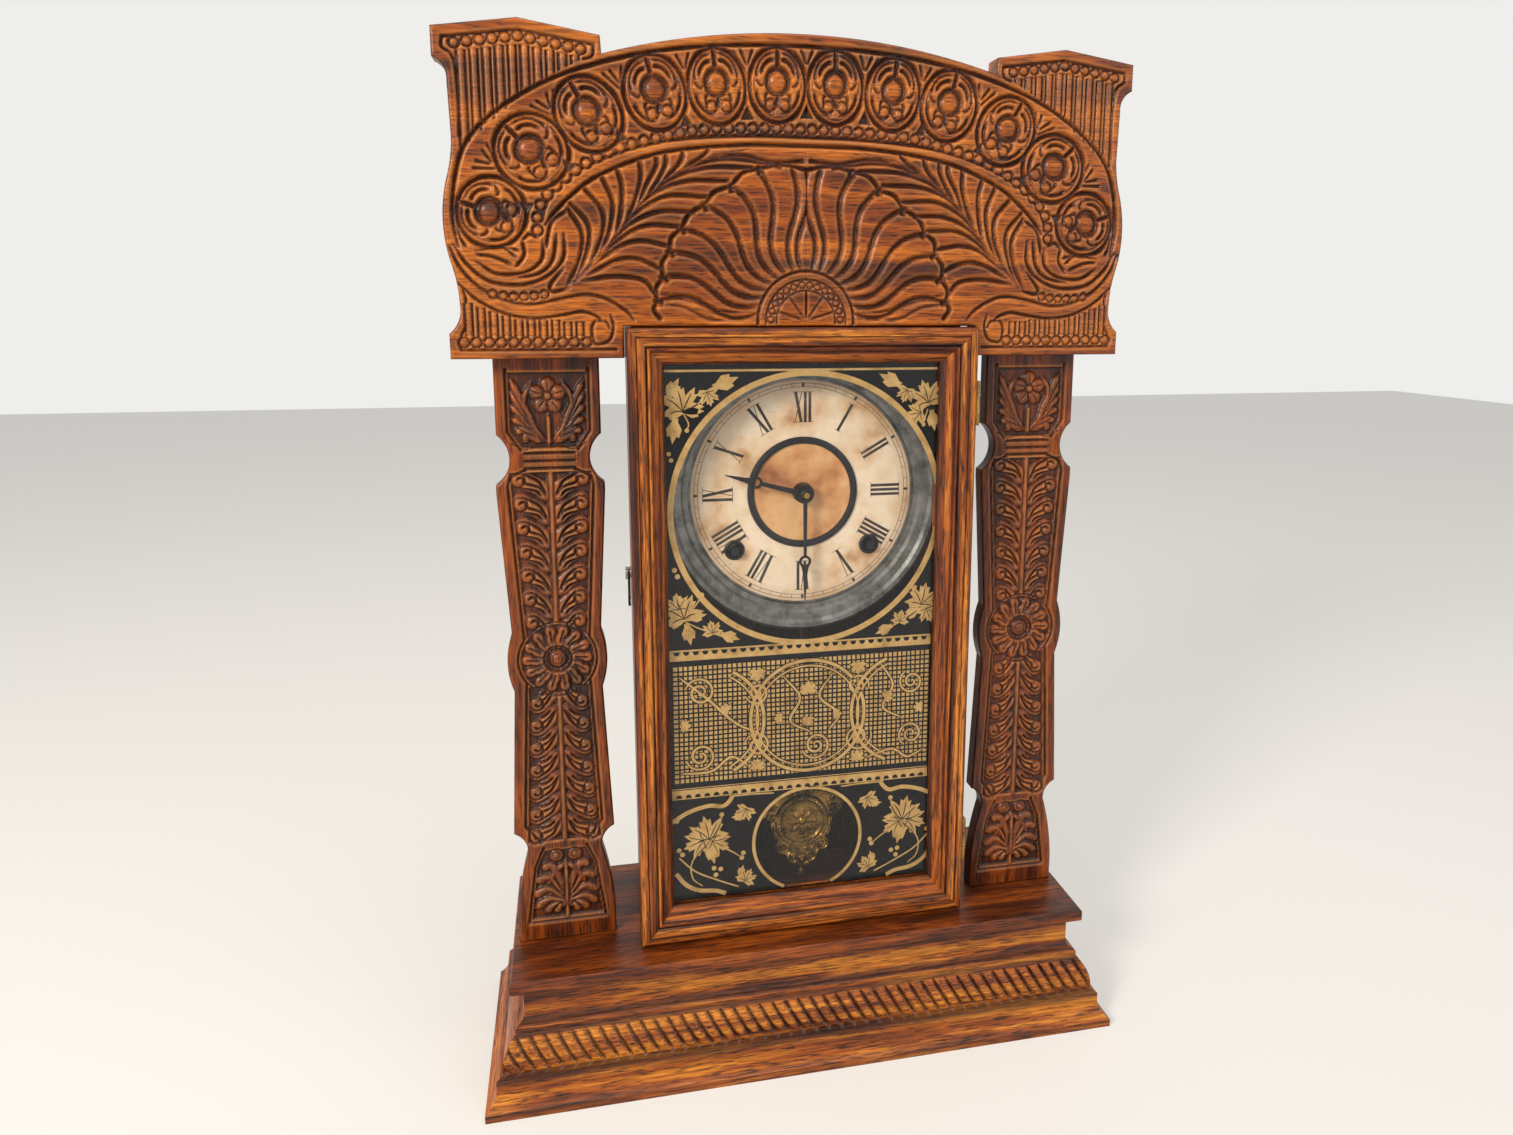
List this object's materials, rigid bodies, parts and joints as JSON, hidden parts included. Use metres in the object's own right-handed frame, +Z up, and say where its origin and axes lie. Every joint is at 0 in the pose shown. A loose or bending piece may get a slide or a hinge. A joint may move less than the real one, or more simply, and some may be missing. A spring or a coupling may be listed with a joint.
{
  "type": "kitchen clock",
  "caption": "Carved oak kitchen clock with an arched crest, two side columns, a glazed door, a round dial and a pendulum striking movement on a moulded base.",
  "frame": {"origin": "middle of the base's underside", "axes": "+X to the viewer's right, +Y to the back, +Z up"},
  "size_m": [0.384, 0.13, 0.593],
  "materials": {
    "oak": "stained golden brown, varnished, pressed and carved",
    "blackened_steel": "blued to near black",
    "steel": "bright, lightly aged",
    "brass": "rolled and cut, tarnished",
    "cast_iron": "black lacquer",
    "zinc": "pressed sheet, dull grey",
    "paper": "aged cream paper, printed",
    "glass": "clear, with a tablet painted on its back"
  },
  "bodies": {
    "case": {"base_front_moulding": "oak", "base_left_moulding": "oak", "base_right_moulding": "oak", "base_back_rail": "oak", "base_top_board": "oak", "case_left_side": "oak", "case_right_side": "oak", "case_top": "oak", "back_board": "oak", "header_board": "oak", "left_column": "oak", "right_column": "oak", "dial_rails": "oak", "case_hinge_leaves": "brass", "catch_pin": "steel", "dial_pan": "zinc", "dial_paper": "paper", "dial_centre_ring": "blackened_steel", "winding_grommets": "blackened_steel", "case_screws": "steel", "front_plate": "brass", "back_plate": "brass", "plate_pillars": "steel", "time_mainspring": "steel", "strike_mainspring": "steel", "gong_base": "cast_iron", "gong_coil": "steel"},
    "door": {"door_left_stile": "oak", "door_right_stile": "oak", "door_top_rail": "oak", "door_bottom_rail": "oak", "door_glass": "glass", "glass_stops": "oak", "door_hinge_leaves": "brass", "hook_screw": "steel"},
    "hook": {"door_hook": "blackened_steel"},
    "centre": {"centre_wheel": "brass", "minute_hand": "blackened_steel", "hand_nut": "brass"},
    "hour": {"hour_wheel": "brass", "hour_hand": "blackened_steel"},
    "motion": {"minute_wheel": "brass"},
    "time_great": {"time_great_wheel": "brass"},
    "time_key_arbor": {"time_winding_arbor": "steel"},
    "time_pawl": {"time_click": "steel"},
    "time_second": {"time_second_wheel": "brass"},
    "time_third": {"time_third_wheel": "brass"},
    "escape": {"escape_wheel": "brass"},
    "verge": {"verge": "steel"},
    "pendulum": {"pendulum_rod": "steel", "pendulum_bob": "brass", "rating_nut": "brass"},
    "strike_great": {"strike_great_wheel": "brass"},
    "strike_key_arbor": {"strike_winding_arbor": "steel"},
    "strike_pawl": {"strike_click": "steel"},
    "strike_second": {"strike_second_wheel": "brass"},
    "strike_cam": {"strike_cam_wheel": "brass"},
    "strike_warning": {"strike_warning_wheel": "brass"},
    "fly": {"fly": "brass"},
    "hammer": {"hammer": "steel"}
  },
  "joints": [
    {"name": "door_swing", "type": "hinge", "parent": "case", "child": "door", "pos_m": [0.1024, -0.026, 0.256], "axis": [0, 0, 1], "range_deg": [0, 100]},
    {"name": "hook_turn", "type": "hinge", "parent": "door", "child": "hook", "pos_m": [-0.1, -0.0192, 0.299], "axis": [1, 0, 0], "range_deg": [-270, 0]},
    {"name": "centre_turn", "type": "hinge", "parent": "case", "child": "centre", "pos_m": [0.003, 0, 0.3401], "axis": [0, 1, 0], "continuous": true},
    {"name": "hour_turn", "type": "hinge", "parent": "case", "child": "hour", "pos_m": [0.003, 0, 0.3401], "axis": [0, 1, 0], "continuous": true},
    {"name": "minute_wheel_turn", "type": "hinge", "parent": "case", "child": "motion", "pos_m": [0.003, 0, 0.3221], "axis": [0, 1, 0], "continuous": true},
    {"name": "time_second_turn", "type": "hinge", "parent": "case", "child": "time_second", "pos_m": [0.02933, 0, 0.34203], "axis": [0, 1, 0], "continuous": true},
    {"name": "time_great_turn", "type": "hinge", "parent": "case", "child": "time_great", "pos_m": [0.0444, 0, 0.3066], "axis": [0, 1, 0], "continuous": true},
    {"name": "time_third_turn", "type": "hinge", "parent": "case", "child": "time_third", "pos_m": [0.01314, 0, 0.36185], "axis": [0, 1, 0], "continuous": true},
    {"name": "escape_turn", "type": "hinge", "parent": "case", "child": "escape", "pos_m": [0.003, 0, 0.3826], "axis": [0, 1, 0], "continuous": true},
    {"name": "pendulum_swing", "type": "hinge", "parent": "case", "child": "pendulum", "pos_m": [0.003, 0, 0.4049], "axis": [0, 1, 0], "range_deg": [-4, 4]},
    {"name": "verge_rock", "type": "hinge", "parent": "case", "child": "verge", "pos_m": [0.003, 0, 0.4049], "axis": [0, 1, 0], "range_deg": [-4, 4]},
    {"name": "time_winding", "type": "hinge", "parent": "time_great", "child": "time_key_arbor", "pos_m": [0.0444, 0, 0.3066], "axis": [0, 1, 0], "continuous": true},
    {"name": "time_click_lift", "type": "hinge", "parent": "time_great", "child": "time_pawl", "pos_m": [0.0511, 0, 0.31821], "axis": [0, 1, 0], "range_deg": [0, 10], "stiffness_Nm_per_rad": 0.01},
    {"name": "strike_great_turn", "type": "hinge", "parent": "case", "child": "strike_great", "pos_m": [-0.0384, 0, 0.3066], "axis": [0, 1, 0], "continuous": true},
    {"name": "strike_second_turn", "type": "hinge", "parent": "case", "child": "strike_second", "pos_m": [-0.02333, 0, 0.34203], "axis": [0, 1, 0], "continuous": true},
    {"name": "strike_cam_turn", "type": "hinge", "parent": "case", "child": "strike_cam", "pos_m": [-0.027, 0, 0.36817], "axis": [0, 1, 0], "continuous": true},
    {"name": "strike_warning_turn", "type": "hinge", "parent": "case", "child": "strike_warning", "pos_m": [-0.01493, 0, 0.38608], "axis": [0, 1, 0], "continuous": true},
    {"name": "fly_turn", "type": "hinge", "parent": "case", "child": "fly", "pos_m": [-0.01882, 0, 0.4017], "axis": [0, 1, 0], "continuous": true},
    {"name": "strike_winding", "type": "hinge", "parent": "strike_great", "child": "strike_key_arbor", "pos_m": [-0.0384, 0, 0.3066], "axis": [0, 1, 0], "continuous": true},
    {"name": "strike_click_lift", "type": "hinge", "parent": "strike_great", "child": "strike_pawl", "pos_m": [-0.0451, 0, 0.31821], "axis": [0, 1, 0], "range_deg": [-10, 0], "stiffness_Nm_per_rad": 0.01},
    {"name": "hammer_lift", "type": "hinge", "parent": "case", "child": "hammer", "pos_m": [-0.005, 0, 0.2801], "axis": [0, 1, 0], "range_deg": [0, 12]}
  ],
  "couplings": [
    {"joint": "minute_wheel_turn", "follows": "centre_turn", "ratio": -0.33333},
    {"joint": "hour_turn", "follows": "centre_turn", "ratio": 0.083333},
    {"joint": "time_second_turn", "follows": "centre_turn", "ratio": -0.2},
    {"joint": "time_great_turn", "follows": "centre_turn", "ratio": 0.033333},
    {"joint": "time_third_turn", "follows": "centre_turn", "ratio": -9},
    {"joint": "escape_turn", "follows": "centre_turn", "ratio": 90},
    {"joint": "verge_rock", "follows": "pendulum_swing", "ratio": 1},
    {"joint": "strike_second_turn", "follows": "strike_great_turn", "ratio": -6},
    {"joint": "strike_cam_turn", "follows": "strike_great_turn", "ratio": 30},
    {"joint": "strike_warning_turn", "follows": "strike_great_turn", "ratio": -240},
    {"joint": "fly_turn", "follows": "strike_great_turn", "ratio": 1600}
  ]
}
